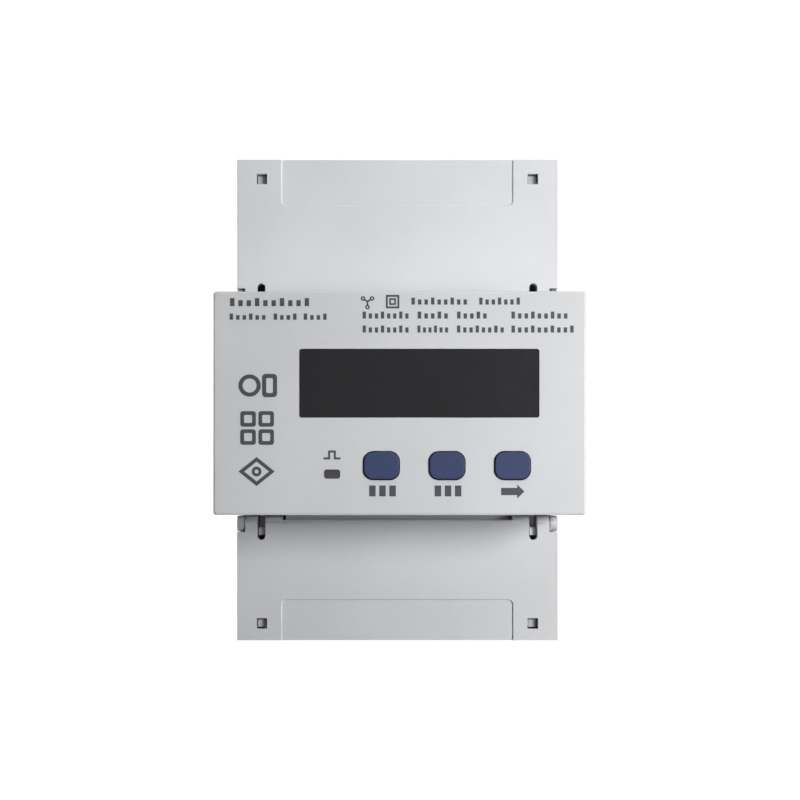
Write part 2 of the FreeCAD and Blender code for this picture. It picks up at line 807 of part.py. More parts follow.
def pulse_light():
    body = new_body("pulse_light_pipe")
    prism(body, "Y", "-bezel_front + light_recess", "-light_rear",
          ("rounded", *across("light_width - 2 * light_play", "light_x"),
           *across("light_height - 2 * light_play", "light_z"), "light_radius"))
    prism(body, "Y", "-bezel_front + bezel_wall", "-bezel_front + bezel_wall + light_flange",
          ("rounded", *across("light_width + 2 * light_flange", "light_x"),
           *across("light_height + 2 * light_flange", "light_z"), "light_flange"))
    keep("pulse_led", block("led", across("led_width", "light_x"), ("-led_front", "-display_board_front"),
                            across("led_height", "light_z")))


# --- circuit boards and what is on them ------------------------------------------------

def boards():
    display_board = new_body("display_board")
    prism(display_board, "Y", "-display_board_front", "-display_board_rear",
          ("rounded", *across("display_board_width"), *across("display_board_height"), "board_corner"))
    cut(display_board, "Y", "-display_board_front", "-display_board_rear",
        *[("circle", x, z, "board_hole") for x, z in corners("board_post_x", "board_post_z")])
    main_board = new_body("main_board")
    prism(main_board, "Y", "-main_front", "-main_rear",
          ("rounded", *across("main_width"), *across("main_height"), "board_corner"))
    screws = []
    for i, (x, z) in enumerate(corners("board_post_x", "board_post_z")):
        head = rod(f"board_head{i}", "Y", "board_head_radius", "-display_board_rear", "-board_head_rear",
                   (x, z))
        shank = rod(f"board_shank{i}", "Y", "board_hole", "-display_board_front", "-display_board_rear",
                    (x, z))
        screws.append(fuse(f"board_screw{i}", head, shank))
    keep("board_screws", group("board_screw_set", *screws))


def board_header():
    strip = block("header_strip", across("header_length"), ("-main_front - header_width", "-main_front"),
                  across("header_width", "header_z"))
    pins = [rod(f"header_pin{i}", "Y", "header_pin", "-display_board_rear",
                "-main_front - header_width + merge", (f"({i} - 4.5) * pin_pitch", "header_z"))
            for i in range(10)]
    keep("board_header", fuse("header", strip, *pins))


def transformer():
    """Small mains transformer: an E-shaped core with the winding round its middle leg."""
    core = block("core_outer", across("core_width", "core_x"), ("-core_front", "-core_rear"),
                 across("core_height", "core_z"))
    windows = []
    for i in (1, -1):
        middle = f"core_x + {i} * (leg_width + window_width) / 2"
        windows.append(block(f"core_window{i}", across("window_width", middle),
                             ("-core_front + yoke", "-core_rear - yoke"),
                             across("core_height + 2 * merge", "core_z")))
    keep("transformer_core", take("core", core, *windows))
    coil = block("coil_outer", across("leg_width + 2 * window_width - 2 * coil_play", "core_x"),
                 ("-core_front + yoke + coil_play", "-core_rear - yoke - coil_play"),
                 across("coil_height", "core_z"))
    leg = block("coil_leg", across("leg_width + 2 * coil_play", "core_x"), ("-core_front", "-core_rear"),
                across("core_height + 2 * coil_play", "core_z"))
    keep("transformer_winding", take("winding", coil, leg))
    foot = block("bobbin_foot", across("base_width", "core_x"), ("-core_rear", "-main_front"),
                 across("base_height", "core_z"))
    keep("transformer_base", foot)


# Parts on the main board: radius or width and height, distance of the front, then X and Z.
CAPACITORS = (("5", "44", "-15", "-9"), ("4", "39", "-3.5", "-8"))
CHIPS = (("10", "8", "26.4", "-19", "2"), ("10", "8", "26.4", "-5", "2"), ("8", "5", "27.4", "20", "-10.5"))


def power_parts():
    cans = [rod(f"can{i}", "Y", radius, f"-{front}", "-main_front", (x, z))
            for i, (radius, front, x, z) in enumerate(CAPACITORS)]
    keep("smoothing_capacitors", group("cans", *cans))
    discs = []
    for i in range(3):
        x = f"disc_first + {i} * disc_pitch"
        disc = rod(f"disc{i}", "X", "disc_radius", *across("disc_thickness", x), ("disc_y", "disc_z"))
        leads = [rod(f"disc_lead{i}_{j}", "Y", "lead_radius", "disc_y + 1", "-main_front",
                     (x, f"disc_z + {j} * lead_offset")) for j in (1, -1)]
        discs.append(fuse(f"varistor{i}", disc, *leads))
    keep("varistors", group("varistor_set", *discs))
    chips = [block(f"chip{i}", across(width, x), (f"-{front}", "-main_front"), across(height, z))
             for i, (width, height, front, x, z) in enumerate(CHIPS)]
    keep("board_chips", group("chips", *chips))


# --- current path ----------------------------------------------------------------------

PHASES = ("l1", "l2", "l3", "neutral")


def busbars():
    """One flat bar for each conductor, from the lower clamp to the upper one."""
    for phase, x in zip(PHASES, terminal_places()):
        bar = block(f"{phase}_bar", across("bar_width", x), ("-bar_front", "-bar_rear"),
                    ("-lower_end + bar_end", "upper_end - bar_end"))
        keep(f"{phase}_busbar", bar)
    taps = [rod(f"tap{i}", "Y", "tap_radius", "-main_rear", "-bar_front", (x, "tap_z"))
            for i, x in enumerate(terminal_places())]
    keep("voltage_taps", group("taps", *taps))


def current_transformers():
    """A ring round each phase bar, with a moulded head that carries its two pins."""
    pins = []
    for phase, x in zip(PHASES[:3], terminal_places()):
        height = across("ring_height")
        ring = rod(f"{phase}_ring", "Z", "ring_outer", *height, (x, "ring_y"))
        head = block(f"{phase}_head", across("ring_head_width", x),
                     ("-ring_head_front", "ring_y - ring_head_root"), height)
        hole = rod(f"{phase}_hole", "Z", "ring_inner", "-ring_height", "ring_height", (x, "ring_y"))
        keep(f"{phase}_current_transformer", take(f"{phase}_ct", fuse(f"{phase}_ct_body", ring, head), hole))
        pins += [rod(f"{phase}_pin{j}", "Y", "lead_radius", "-main_rear", "-ring_head_front",
                     (f"{x} + {j} * lead_offset", "0")) for j in (1, -1)]
    keep("current_transformer_pins", group("ct_pins", *pins))


def clamp_screw(label, x, z):
    """Cross-slotted screw whose head stays in the block while it turns."""
    head = rod(f"{label}_head", "Y", "head_radius", "-head_front", "-head_rear", (x, z))
    shank = rod(f"{label}_shank", "Y", "screw_radius", "-head_rear", "-screw_tip", (x, z))
    depth = ("-head_front - merge", "-head_front + slot_depth")
    slots = [block(f"{label}_slot1", across("3 * head_radius", x), depth, across("cross_width", z)),
             block(f"{label}_slot2", across("cross_width", x), depth, across("slot_length", z))]
    keep(label, take(f"{label}_cut", fuse(f"{label}_blank", head, shank), *slots))


def clamp_cage(label, x, z):
    """Steel box round the bar and the cable, with the screw's hole in its front wall."""
    length = across("cage_length", z)
    outside = block(f"{label}_outer", across("cage_width", x), ("-cage_front", "-cage_rear"), length)
    inside = block(f"{label}_inner", across("cage_inner_width", x),
                   ("-cage_front + cage_top_wall", "-cage_rear - cage_floor"),
                   across("cage_length + 2 * merge", z))
    hole = rod(f"{label}_hole", "Y", "screw_radius + thread_play", "-cage_front - merge",
               "-cage_front + cage_top_wall + merge", (x, z))
    keep(label, take(f"{label}_cut", outside, inside, hole))


def clamps():
    for end, side in (("upper", 1), ("lower", -1)):
        z = signed(side, f"{own(side, 'end')} - terminal_inset")
        for phase, x in zip(PHASES, terminal_places()):
            clamp_screw(f"{end}_{phase}_screw", x, z)
            clamp_cage(f"{end}_{phase}_cage", x, z)


def auxiliary_terminals():
    """Small eight-way screw terminal for signal wires, under the upper cover."""
    housing = block("aux_body", across("aux_length"), ("-aux_front", "-block_front"),
                    ("aux_inner", "aux_outer"))
    places = [f"({i} - 3.5) * aux_pitch" for i in range(8)]
    wells = [rod(f"aux_well{i}", "Y", "aux_well_radius", "-aux_front - merge", "-aux_well_rear",
                 (x, "aux_z")) for i, x in enumerate(places)]
    mouths = [block(f"aux_mouth{i}", across("aux_mouth_width", x), ("-aux_mouth_front", "-aux_mouth_rear"),
                    ("aux_mouth_inner", "aux_outer + merge")) for i, x in enumerate(places)]
    keep("aux_terminal_block", take("aux_cut", housing, *wells, *mouths))
    screws = []
    for i, x in enumerate(places):
        head = rod(f"aux_head{i}", "Y", "aux_head_radius", "-aux_head_front", "-aux_well_rear", (x, "aux_z"))
        slot = block(f"aux_slot{i}", across("3 * aux_head_radius", x),
                     ("-aux_head_front - merge", "-aux_slot_rear"), across("aux_slot_width", "aux_z"))
        screws.append(take(f"aux_screw{i}", head, slot))
    keep("aux_terminal_screws", group("aux_screws", *screws))


# --- fasteners and rail clip -----------------------------------------------------------

def case_screws():
    screws = []
    for i, (x, z) in enumerate(corners("boss_x", "boss_z")):
        head = rod(f"case_head{i}", "Y", "case_head_radius", "-well_depth", "-case_head_rear", (x, z))
        shank = rod(f"case_shank{i}", "Y", "thread_radius", "-boss_front + case_tip_gap", "-well_depth",
                    (x, z))
        cross = [("cross_length", "case_cross_width"), ("case_cross_width", "cross_length")]
        slots = [block(f"case_slot{i}_{j}", across(width, x), ("-case_cross_depth", "0"), across(height, z))
                 for j, (width, height) in enumerate(cross)]
        screws.append(take(f"case_screw{i}", fuse(f"case_blank{i}", head, shank), *slots))
    keep("case_screws", group("case_screw_set", *screws))


def rail_clip():
    """Sliding clip: a nose behind the rail's lower flange, and a tail to pull it by."""
    body = new_body("rail_clip")
    edge = "-channel_height / 2 - clip_edge_gap"
    hand = "-clip_tail + clip_hand_length"
    wide = across("clip_width")
    tongue = across("clip_tongue")
    prism(body, "Y", "clip_front", "clip_step", ("rectangle", *wide, hand, edge))
    prism(body, "Y", "clip_front", "hook_gap + hook_depth",
          ("rectangle", *wide, edge, "-channel_height / 2 + hook_reach"))
    prism(body, "Y", "clip_step", "clip_rear", ("rectangle", *tongue, "-clip_tail", "-clip_top"))
    prism(body, "Y", "clip_front + clip_hand_step", "clip_step", ("rectangle", *tongue, "-clip_tail", hand))
    cut(body, "Y", "clip_front", "clip_rear",
        ("rectangle", *across("clip_slot_width"), "-spring_seat - clip_slot_end", "-spring_top + clip_gap"),
        ("rounded", *across("clip_slot_width"), "-clip_tail + clip_pry_near", "-clip_tail + clip_pry_far",
         "label_radius"))


def clip_spring():
    helix = doc.addObject("Part::Helix", "spring_line")
    helix.setExpression("Radius", bound("spring_radius"))
    helix.setExpression("Height", bound("spring_seat - spring_top - 2 * wire_radius"))
    helix.setExpression("Pitch", bound("(spring_seat - spring_top - 2 * wire_radius) / spring_turns"))
    helix.setExpression("Placement.Base.y", bound("spring_y"))
    helix.setExpression("Placement.Base.z", bound("-spring_seat + wire_radius"))
    wire = doc.addObject("Part::Circle", "spring_section")
    wire.setExpression("Radius", bound("wire_radius"))
    wire.Placement = FreeCAD.Placement(Vector(), FreeCAD.Rotation(Vector(1, 0, 0), 90))
    wire.setExpression("Placement.Base.x", bound("spring_radius"))
    wire.setExpression("Placement.Base.y", bound("spring_y"))
    wire.setExpression("Placement.Base.z", bound("-spring_seat + wire_radius"))
    sweep = doc.addObject("Part::Sweep", "spring")
    sweep.Sections = [wire]
    sweep.Spine = (helix, ["Edge1"])
    sweep.Solid = True
    sweep.Frenet = True
    keep("clip_spring", sweep)


def build():
    fill_sheet()
    rear_case()
    front_case()
    terminal_cover("upper_cover", 1)
    terminal_cover("lower_cover", -1)
    terminal_block("upper_terminal_block", 1)
    terminal_block("lower_terminal_block", -1)
    buttons_and_switches()
    display_parts()
    pulse_light()
    boards()
    board_header()
    transformer()
    power_parts()
    busbars()
    current_transformers()
    clamps()
    auxiliary_terminals()
    case_screws()
    rail_clip()
    clip_spring()
    doc.recompute()


def export():
    """Check every object and every piece, then write one STEP file for each piece."""
    for item in doc.Objects:
        if "Invalid" in item.State or "Error" in item.State:
            raise RuntimeError(f"{item.Label} is {item.State}")
    for label, piece in parts.items():
        shape = piece.Shape
        if shape.isNull() or not shape.isValid() or not shape.Solids:
            raise RuntimeError(f"{label} has no valid solid")
    os.makedirs("parts", exist_ok=True)
    for label, piece in parts.items():
        piece.Shape.exportStep(f"parts/{label}.step")
        print(f"{label}: {len(piece.Shape.Solids)} solid(s), {piece.Shape.Volume / 1000:.2f} cm3")


build()
export()
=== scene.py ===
"""Looks of the rail-mounted electricity meter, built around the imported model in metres."""
import json
import math

import bmesh
import bpy
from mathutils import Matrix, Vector


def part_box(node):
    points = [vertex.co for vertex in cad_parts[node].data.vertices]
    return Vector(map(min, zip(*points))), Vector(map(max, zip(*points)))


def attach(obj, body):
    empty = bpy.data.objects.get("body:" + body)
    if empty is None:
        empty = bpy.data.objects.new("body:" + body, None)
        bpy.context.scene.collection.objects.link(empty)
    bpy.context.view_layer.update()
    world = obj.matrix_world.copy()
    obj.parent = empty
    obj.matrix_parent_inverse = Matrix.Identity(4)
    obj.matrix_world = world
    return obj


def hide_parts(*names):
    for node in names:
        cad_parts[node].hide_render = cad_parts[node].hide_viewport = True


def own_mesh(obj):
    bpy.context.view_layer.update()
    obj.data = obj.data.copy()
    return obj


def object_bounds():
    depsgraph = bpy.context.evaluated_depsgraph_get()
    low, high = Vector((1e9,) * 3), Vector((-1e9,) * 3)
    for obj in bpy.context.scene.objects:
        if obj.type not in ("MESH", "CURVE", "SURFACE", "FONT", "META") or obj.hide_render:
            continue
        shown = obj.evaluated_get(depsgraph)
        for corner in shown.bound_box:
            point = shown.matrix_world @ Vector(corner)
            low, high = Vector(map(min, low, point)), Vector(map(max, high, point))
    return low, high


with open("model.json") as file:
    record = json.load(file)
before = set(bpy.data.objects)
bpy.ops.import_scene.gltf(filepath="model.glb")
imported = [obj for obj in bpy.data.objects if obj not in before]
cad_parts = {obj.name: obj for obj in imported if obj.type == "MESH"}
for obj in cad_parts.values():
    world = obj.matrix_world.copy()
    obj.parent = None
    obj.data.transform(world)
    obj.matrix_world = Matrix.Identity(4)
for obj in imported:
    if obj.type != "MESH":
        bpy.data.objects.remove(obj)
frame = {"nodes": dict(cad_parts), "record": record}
cad_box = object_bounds()

MM = 0.001
NODES = frame["nodes"]


# --- places taken from the model -------------------------------------------------------

def corners(node):
    low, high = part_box(node)
    return Vector(low), Vector(high)


def middle(node):
    low, high = corners(node)
    return (low + high) / 2


BEZEL_FRONT = corners("front_case")[0].y


# --- materials -------------------------------------------------------------------------

class Graph:
    """A new node material with its shader at hand."""

    def __init__(self, name):
        self.material = bpy.data.materials.new(name)
        self.material.use_nodes = True
        self.tree = self.material.node_tree
        self.shader = self.tree.nodes["Principled BSDF"]
        texture_space = self.tree.nodes.new("ShaderNodeTexCoord")
        self.coordinates = texture_space.outputs["Object"]
        self.normal = texture_space.outputs["Normal"]

    def node(self, kind, **settings):
        made = self.tree.nodes.new(kind)
        for key, value in settings.items():
            setattr(made, key, value)
        return made

    def link(self, source, target):
        self.tree.links.new(source, target)

    def set(self, **sockets):
        for key, value in sockets.items():
            self.shader.inputs[key.replace("_", " ")].default_value = value

    def noise(self, scale, detail=2.0, roughness=0.5, stretch=None):
        """Noise whose scale is in features for each metre."""
        texture = self.node("ShaderNodeTexNoise")
        texture.inputs["Scale"].default_value = scale
        texture.inputs["Detail"].default_value = detail
        texture.inputs["Roughness"].default_value = roughness
        source = self.coordinates
        if stretch:
            mapping = self.node("ShaderNodeMapping")
            mapping.inputs["Scale"].default_value = stretch
            self.link(source, mapping.inputs["Vector"])
            source = mapping.outputs["Vector"]
        self.link(source, texture.inputs["Vector"])
        return texture.outputs["Fac"]

    def ramp(self, source, low, high, start=0.0, end=1.0):
        """Map a noise onto a span of values or colours, between two points of its range."""
        made = self.node("ShaderNodeValToRGB")
        first, last = made.color_ramp.elements
        first.position, last.position = start, end
        first.color, last.color = rgba(low), rgba(high)
        self.link(source, made.inputs["Fac"])
        return made.outputs["Color"]

    def bump(self, height, distance, strength=1.0, under=None):
        made = self.node("ShaderNodeBump")
        made.inputs["Strength"].default_value = strength
        made.inputs["Distance"].default_value = distance
        self.link(height, made.inputs["Height"])
        if under:
            self.link(under, made.inputs["Normal"])
        return made.outputs["Normal"]


def rgba(colour):
    """Colour with its alpha, from one grey value or three channels."""
    if isinstance(colour, (int, float)):
        return (colour, colour, colour, 1.0)
    return (*colour, 1.0)


def shade(colour, factor):
    """The same colour, lighter or darker."""
    return tuple(min(1.0, c * factor) for c in colour)


def plastic(name, colour, roughness=0.5, variation=0.03, grain=0.012, coat=0.0):
    """Moulded plastic: fine spark-eroded grain, faint flow marks and uneven gloss."""
    graph = Graph(name)
    cloudy = graph.noise(60, detail=3)
    graph.link(graph.ramp(cloudy, shade(colour, 1 - variation), shade(colour, 1 + variation), 0.3, 0.7),
               graph.shader.inputs["Base Color"])
    patches = graph.noise(220, detail=2)
    graph.link(graph.ramp(patches, roughness - 0.04, roughness + 0.05, 0.3, 0.7),
               graph.shader.inputs["Roughness"])
    coarse = graph.bump(graph.noise(1400, detail=2), grain * MM * 1.5, 0.5)
    fine = graph.bump(graph.noise(5200, detail=1), grain * MM, 0.8, under=coarse)
    graph.link(fine, graph.shader.inputs["Normal"])
    graph.set(IOR=1.5, Coat_Weight=coat, Coat_Roughness=0.1)
    return graph.material


def key_plastic(name, colour, rim_shade=0.3):
    """Matte moulded key with painted shade on its rim: its colour darkens where its face turns into the gap
    round it.
    """
    graph = Graph(name)
    clouds = graph.ramp(graph.noise(90, detail=3), shade(colour, 0.95), shade(colour, 1.06), 0.3, 0.7)
    # Painted shade: the colour is darkened where the face turns away from the front, as if the gap round the
    # key shaded it.
    facing = graph.node("ShaderNodeVectorMath", operation="DOT_PRODUCT")
    facing.inputs[1].default_value = (0, -1, 0)
    graph.link(graph.normal, facing.inputs[0])
    rim_shade_amount = graph.node("ShaderNodeMapRange")
    rim_shade_amount.inputs["From Min"].default_value = 0.8
    rim_shade_amount.inputs["From Max"].default_value = 0.98
    rim_shade_amount.inputs["To Min"].default_value = rim_shade
    graph.link(facing.outputs["Value"], rim_shade_amount.inputs["Value"])
    painted_shade_colour = graph.node("ShaderNodeVectorMath", operation="SCALE")
    graph.link(clouds, painted_shade_colour.inputs[0])
    graph.link(rim_shade_amount.outputs["Result"], painted_shade_colour.inputs["Scale"])
    graph.link(painted_shade_colour.outputs["Vector"], graph.shader.inputs["Base Color"])
    graph.link(graph.ramp(graph.noise(260, detail=2), 0.5, 0.62, 0.3, 0.7), graph.shader.inputs["Roughness"])
    graph.link(graph.bump(graph.noise(4200, detail=2), 0.01 * MM, 0.8), graph.shader.inputs["Normal"])
    graph.set(IOR=1.5, Specular_IOR_Level=0.3)
    return graph.material


def metal(name, colour, roughness=0.3, stretch=(1, 1, 1), scratches=0.004):
    """Plated or rolled metal with fine drawn lines and stained patches."""
    graph = Graph(name)
    stains = graph.noise(300, detail=4)
    graph.link(graph.ramp(stains, shade(colour, 0.8), colour, 0.3, 0.65),
               graph.shader.inputs["Base Color"])
    lines = graph.noise(2500, detail=3, stretch=stretch)
    graph.link(graph.ramp(lines, roughness - 0.1, roughness + 0.12, 0.3, 0.7),
               graph.shader.inputs["Roughness"])
    graph.link(graph.bump(lines, scratches * MM, 0.6), graph.shader.inputs["Normal"])
    graph.set(Metallic=1.0)
    return graph.material


def smoked_window(name, colour):
    """Dark polished window, with the faintest unevenness of a moulded surface."""
    graph = Graph(name)
    graph.link(graph.ramp(graph.noise(90, detail=1), shade(colour, 0.96), shade(colour, 1.05), 0.3, 0.7),
               graph.shader.inputs["Base Color"])
    graph.link(graph.ramp(graph.noise(700, detail=4), 0.16, 0.24, 0.35, 0.7),
               graph.shader.inputs["Roughness"])
    graph.link(graph.bump(graph.noise(45, detail=1), 0.01 * MM, 0.3), graph.shader.inputs["Normal"])
    graph.set(IOR=1.49)
    return graph.material


def ink(name, colour):
    """Pad-printed ink: matte, slightly uneven cover."""
    graph = Graph(name)
    cover = graph.noise(3500, detail=3)
    graph.link(graph.ramp(cover, shade(colour, 0.85), shade(colour, 1.25), 0.3, 0.75),
               graph.shader.inputs["Base Color"])
    graph.link(graph.bump(cover, 0.003 * MM, 0.5), graph.shader.inputs["Normal"])
    graph.set(Roughness=0.62)
    return graph.material


GREY = (0.60, 0.606, 0.622)
COVER_GREY = shade(GREY, 1.06)
MATERIALS = {
    "case_grey": plastic("case_plastic", GREY, 0.5),
    "insulator": plastic("insulator_plastic", (0.43, 0.435, 0.44), 0.55),
    "display_black": smoked_window("smoked_window", (0.026, 0.026, 0.028)),
    "lcd_glass": smoked_window("lcd_glass", (0.16, 0.18, 0.15)),
    "black_plastic": plastic("black_plastic", (0.022, 0.022, 0.024), 0.45, 0.1),
    "white_plastic": plastic("white_plastic", (0.75, 0.75, 0.72), 0.4),
    "silicone": plastic("silicone", (0.09, 0.09, 0.1), 0.6, 0.1),
    "circuit_board": plastic("solder_resist", (0.012, 0.10, 0.04), 0.3, 0.15, coat=0.5),
    "steel": metal("zinc_plated_steel", (0.66, 0.66, 0.64), 0.3),
    "cage_zinc": metal("clamp_steel", (0.60, 0.585, 0.53), 0.34),
    "brass": metal("tinned_brass", (0.72, 0.53, 0.26), 0.3, (1, 1, 0.05)),
    "ferrite": plastic("laminated_core", (0.05, 0.05, 0.055), 0.5, 0.2),
    "winding_tape": plastic("winding_tape", (0.62, 0.42, 0.06), 0.3, 0.06),
    "capacitor_sleeve": plastic("capacitor_sleeve", (0.02, 0.025, 0.05), 0.25),
    "varistor_blue": plastic("varistor_coating", (0.03, 0.08, 0.3), 0.28),
    "transformer_case": plastic("transformer_case", (0.03, 0.035, 0.055), 0.4),
    "aux_green": plastic("terminal_green", (0.03, 0.2, 0.07), 0.42, 0.05),
    "clip_dark": plastic("clip_plastic", (0.05, 0.05, 0.055), 0.42, 0.08),
    # Blue keys, with painted shade darkening their rims.
    "button_blue": key_plastic("button_plastic", (0.036, 0.053, 0.128)),
}
FINISH = {
    "upper_cover": plastic("cover_plastic", COVER_GREY, 0.5),
    "pulse_light_pipe": smoked_window("light_pipe", (0.075, 0.075, 0.08)),
}
FINISH["lower_cover"] = FINISH["upper_cover"]
INK = ink("printed_ink", (0.06, 0.066, 0.07))


def dress_frame():
    """Give every node of the model its material: its own finish, or the one of its slot."""
    slots = {row["node"]: row["material_slot"] for row in frame["record"]["subparts"]}
    for name, piece in NODES.items():
        piece.data.materials.clear()
        piece.data.materials.append(FINISH.get(name, MATERIALS[slots[name]]))


# Width of the rounding on each moulded piece, in millimetres.
EDGE = {"front_case": 0.3, "rear_case": 0.2, "upper_cover": 0.08, "lower_cover": 0.08, "rail_clip": 0.25,
        "upper_terminal_block": 0.2, "lower_terminal_block": 0.2, "aux_terminal_block": 0.2,
        "pulse_light_pipe": 0.25}
ROUNDED_FROM = math.radians(50)


def soften_edges():
    """Round the edges of the moulded pieces that turn by more than ROUNDED_FROM."""
    for name, width in EDGE.items():
        piece = NODES[name]
        weld = piece.modifiers.new("join", "WELD")
        weld.merge_threshold = 0.002 * MM
        bevel = piece.modifiers.new("soft_edges", "BEVEL")
        bevel.width = width * MM
        bevel.segments = 3
        bevel.limit_method = "ANGLE"
        bevel.angle_limit = ROUNDED_FROM
        bevel.use_clamp_overlap = True
        bevel.harden_normals = False


# --- printed marks on the front block --------------------------------------------------

PRINT_HEIGHT = 0.03 * MM
PRINT_SINK = 0.01 * MM
BAR_SHARE = 0.53
SHORT_BAR = 0.74


def new_piece(name, mesh, material, body):
    """New visible piece that rides on a body."""
    piece = bpy.data.objects.new(name, mesh)
    bpy.context.collection.objects.link(piece)
    mesh.materials.append(material)
    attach(piece, body)
    return piece


def at(x, z):
    """Point on the front face, in millimetres right of and above the model's origin."""
    return Vector((x * MM, BEZEL_FRONT, z * MM))


def add_plate(bm, outline, holes=()):
    """Raise a flat printed shape off the front face; outline and holes are (x, z) in mm."""
    loops = [outline, *holes]
    edges = []
    for loop in loops:
        points = [bm.verts.new(at(x, z) + Vector((0, PRINT_SINK, 0))) for x, z in loop]
        edges += [bm.edges.new((points[i], points[(i + 1) % len(points)])) for i in range(len(points))]
    filled = bmesh.ops.triangle_fill(bm, edges=edges, use_beauty=True)
    faces = [f for f in filled["geom"] if isinstance(f, bmesh.types.BMFace)]
    raised = bmesh.ops.extrude_face_region(bm, geom=faces)
    moved = [v for v in raised["geom"] if isinstance(v, bmesh.types.BMVert)]
    bmesh.ops.translate(bm, verts=moved, vec=(0, -PRINT_HEIGHT - PRINT_SINK, 0))


def printed(name, shapes):
    """One printed mark made of plates, each an outline with holes."""
    bm = bmesh.new()
    for outline, *holes in shapes:
        add_plate(bm, outline, holes)
    bmesh.ops.recalc_face_normals(bm, faces=bm.faces)
    mesh = bpy.data.meshes.new(name)
    bm.to_mesh(mesh)
    bm.free()
    new_piece(name, mesh, INK, "housing")


def rectangle(x, z, width, height, radius=0.0, steps=4):
    """Outline of a rectangle about (x, z), with round corners when a radius is given."""
    if not radius:
        return [(x + i * width / 2, z + j * height / 2) for i, j in ((-1, -1), (1, -1), (1, 1), (-1, 1))]
    outline = []
    for quarter, (i, j) in enumerate(((1, 1), (-1, 1), (-1, -1), (1, -1))):
        cx, cz = x + i * (width / 2 - radius), z + j * (height / 2 - radius)
        for step in range(steps + 1):
            turn = (quarter + step / steps) * math.pi / 2
            outline.append((cx + radius * math.cos(turn), cz + radius * math.sin(turn)))
    return outline


def hollow(x, z, outer, inner, outer_round=0.0, inner_round=0.0):
    """Rectangle with a rectangular hole; outer and inner are (width, height)."""
    return [rectangle(x, z, *outer, outer_round), rectangle(x, z, *inner, inner_round)]


def ring(x, z, outer, inner, steps=40):
    """Circle with a round hole, of two radii."""
    turns = [2 * math.pi * i / steps for i in range(steps)]
    return [[(x + radius * math.cos(turn), z + radius * math.sin(turn)) for turn in turns]
            for radius in (outer, inner)]


def diamond(x, z, half_width, half_height):
    return [(x + half_width, z), (x, z + half_height), (x - half_width, z), (x, z - half_height)]


def stroke(start, end, width):
    """Outline of a straight line of a given width."""
    (x0, z0), (x1, z1) = start, end
    length = math.hypot(x1 - x0, z1 - z0)
    nx, nz = -(z1 - z0) / length * width / 2, (x1 - x0) / length * width / 2
    return [(x0 + nx, z0 + nz), (x0 - nx, z0 - nz), (x1 - nx, z1 - nz), (x1 + nx, z1 + nz)]


def word(left, right, z, height, letters):
    """Row of blank bars on one base line that stands in for a printed word; every third bar is tall."""
    pitch = (right - left) / letters
    low = z - height / 2
    bars = []
    for i in range(letters):
        tall = height if i % 3 == 0 else SHORT_BAR * height
        bars.append([rectangle(left + (i + 0.5) * pitch, low + tall / 2, BAR_SHARE * pitch, tall)])
    return bars


# Each printed row: its height on the face, the height of its bars, and its words as (left, right, letters).
ROWS = {
    "title_row": (19.5, 1.55, [(-33.1, -17.1, 10)]),
    "subtitle_row": (16.7, 1.2, [(-33.1, -25.6, 6), (-24.6, -19.6, 4), (-18.8, -13.8, 4)]),
    "rating_row": (19.7, 1.35, [(2.0, 13.3, 9), (15.1, 23.5, 7)]),
    "class_row": (17.0, 1.35, [(-7.4, 2.0, 8), (3.2, 9.6, 5), (10.8, 17.1, 5), (21.3, 32.7, 9)]),
    "constant_row": (14.3, 1.35, [(-7.4, 2.0, 8), (3.2, 9.6, 6), (10.8, 20.4, 8), (21.3, 33.9, 10)]),
}


def print_rows():
    """Rows along the top of the front face, as words of blank bars."""
    for name, (z, height, words) in ROWS.items():
        bars = [bar for left, right, letters in words for bar in word(left, right, z, height, letters)]
        printed(name, bars)


BRANCH_SIGN = (-6.2, 19.6)
NESTED_SQUARES = (-1.35, 19.6)
FOUR_SQUARES = (-27.5, -4.8)
DIAMOND = (-27.6, -13.2)


def print_signs():
    """Plain geometric signs in the places of the printed symbols."""
    branches = []
    for turn in (math.radians(35), math.radians(145), math.radians(270)):
        reach = Vector((math.cos(turn), math.sin(turn)))
        tip = Vector(BRANCH_SIGN) + 1.05 * reach
        branches += [[stroke(BRANCH_SIGN, tip - 0.3 * reach, 0.3)], ring(*tip, 0.45, 0.18, 16)]
    printed("phase_sign", branches)
    printed("nested_squares", [hollow(*NESTED_SQUARES, (2.6, 2.6), (1.85, 1.85)),
                               hollow(*NESTED_SQUARES, (1.3, 1.3), (0.65, 0.65))])
    printed("ring_pair_sign", [ring(-28.95, 3.4, 2.15, 1.35),
                               hollow(-25.1, 3.4, (2.9, 4.5), (1.3, 2.9), 0.7, 0.3)])
    x, z = FOUR_SQUARES
    printed("four_square_sign", [hollow(x + 1.75 * i, z + 1.75 * j, (3.0, 3.0), (1.55, 1.55), 0.5, 0.2)
                                 for i in (-1, 1) for j in (-1, 1)])
    printed("diamond_sign", [[diamond(*DIAMOND, 3.5, 2.8), diamond(*DIAMOND, 2.4, 1.92)],
                             ring(*DIAMOND, 0.95, 0.4, 20)])


PULSE_Z = -10.0
LABEL_Z = -16.95
LABEL_SHIFT = 0.2
ARROW_Z = -17.06


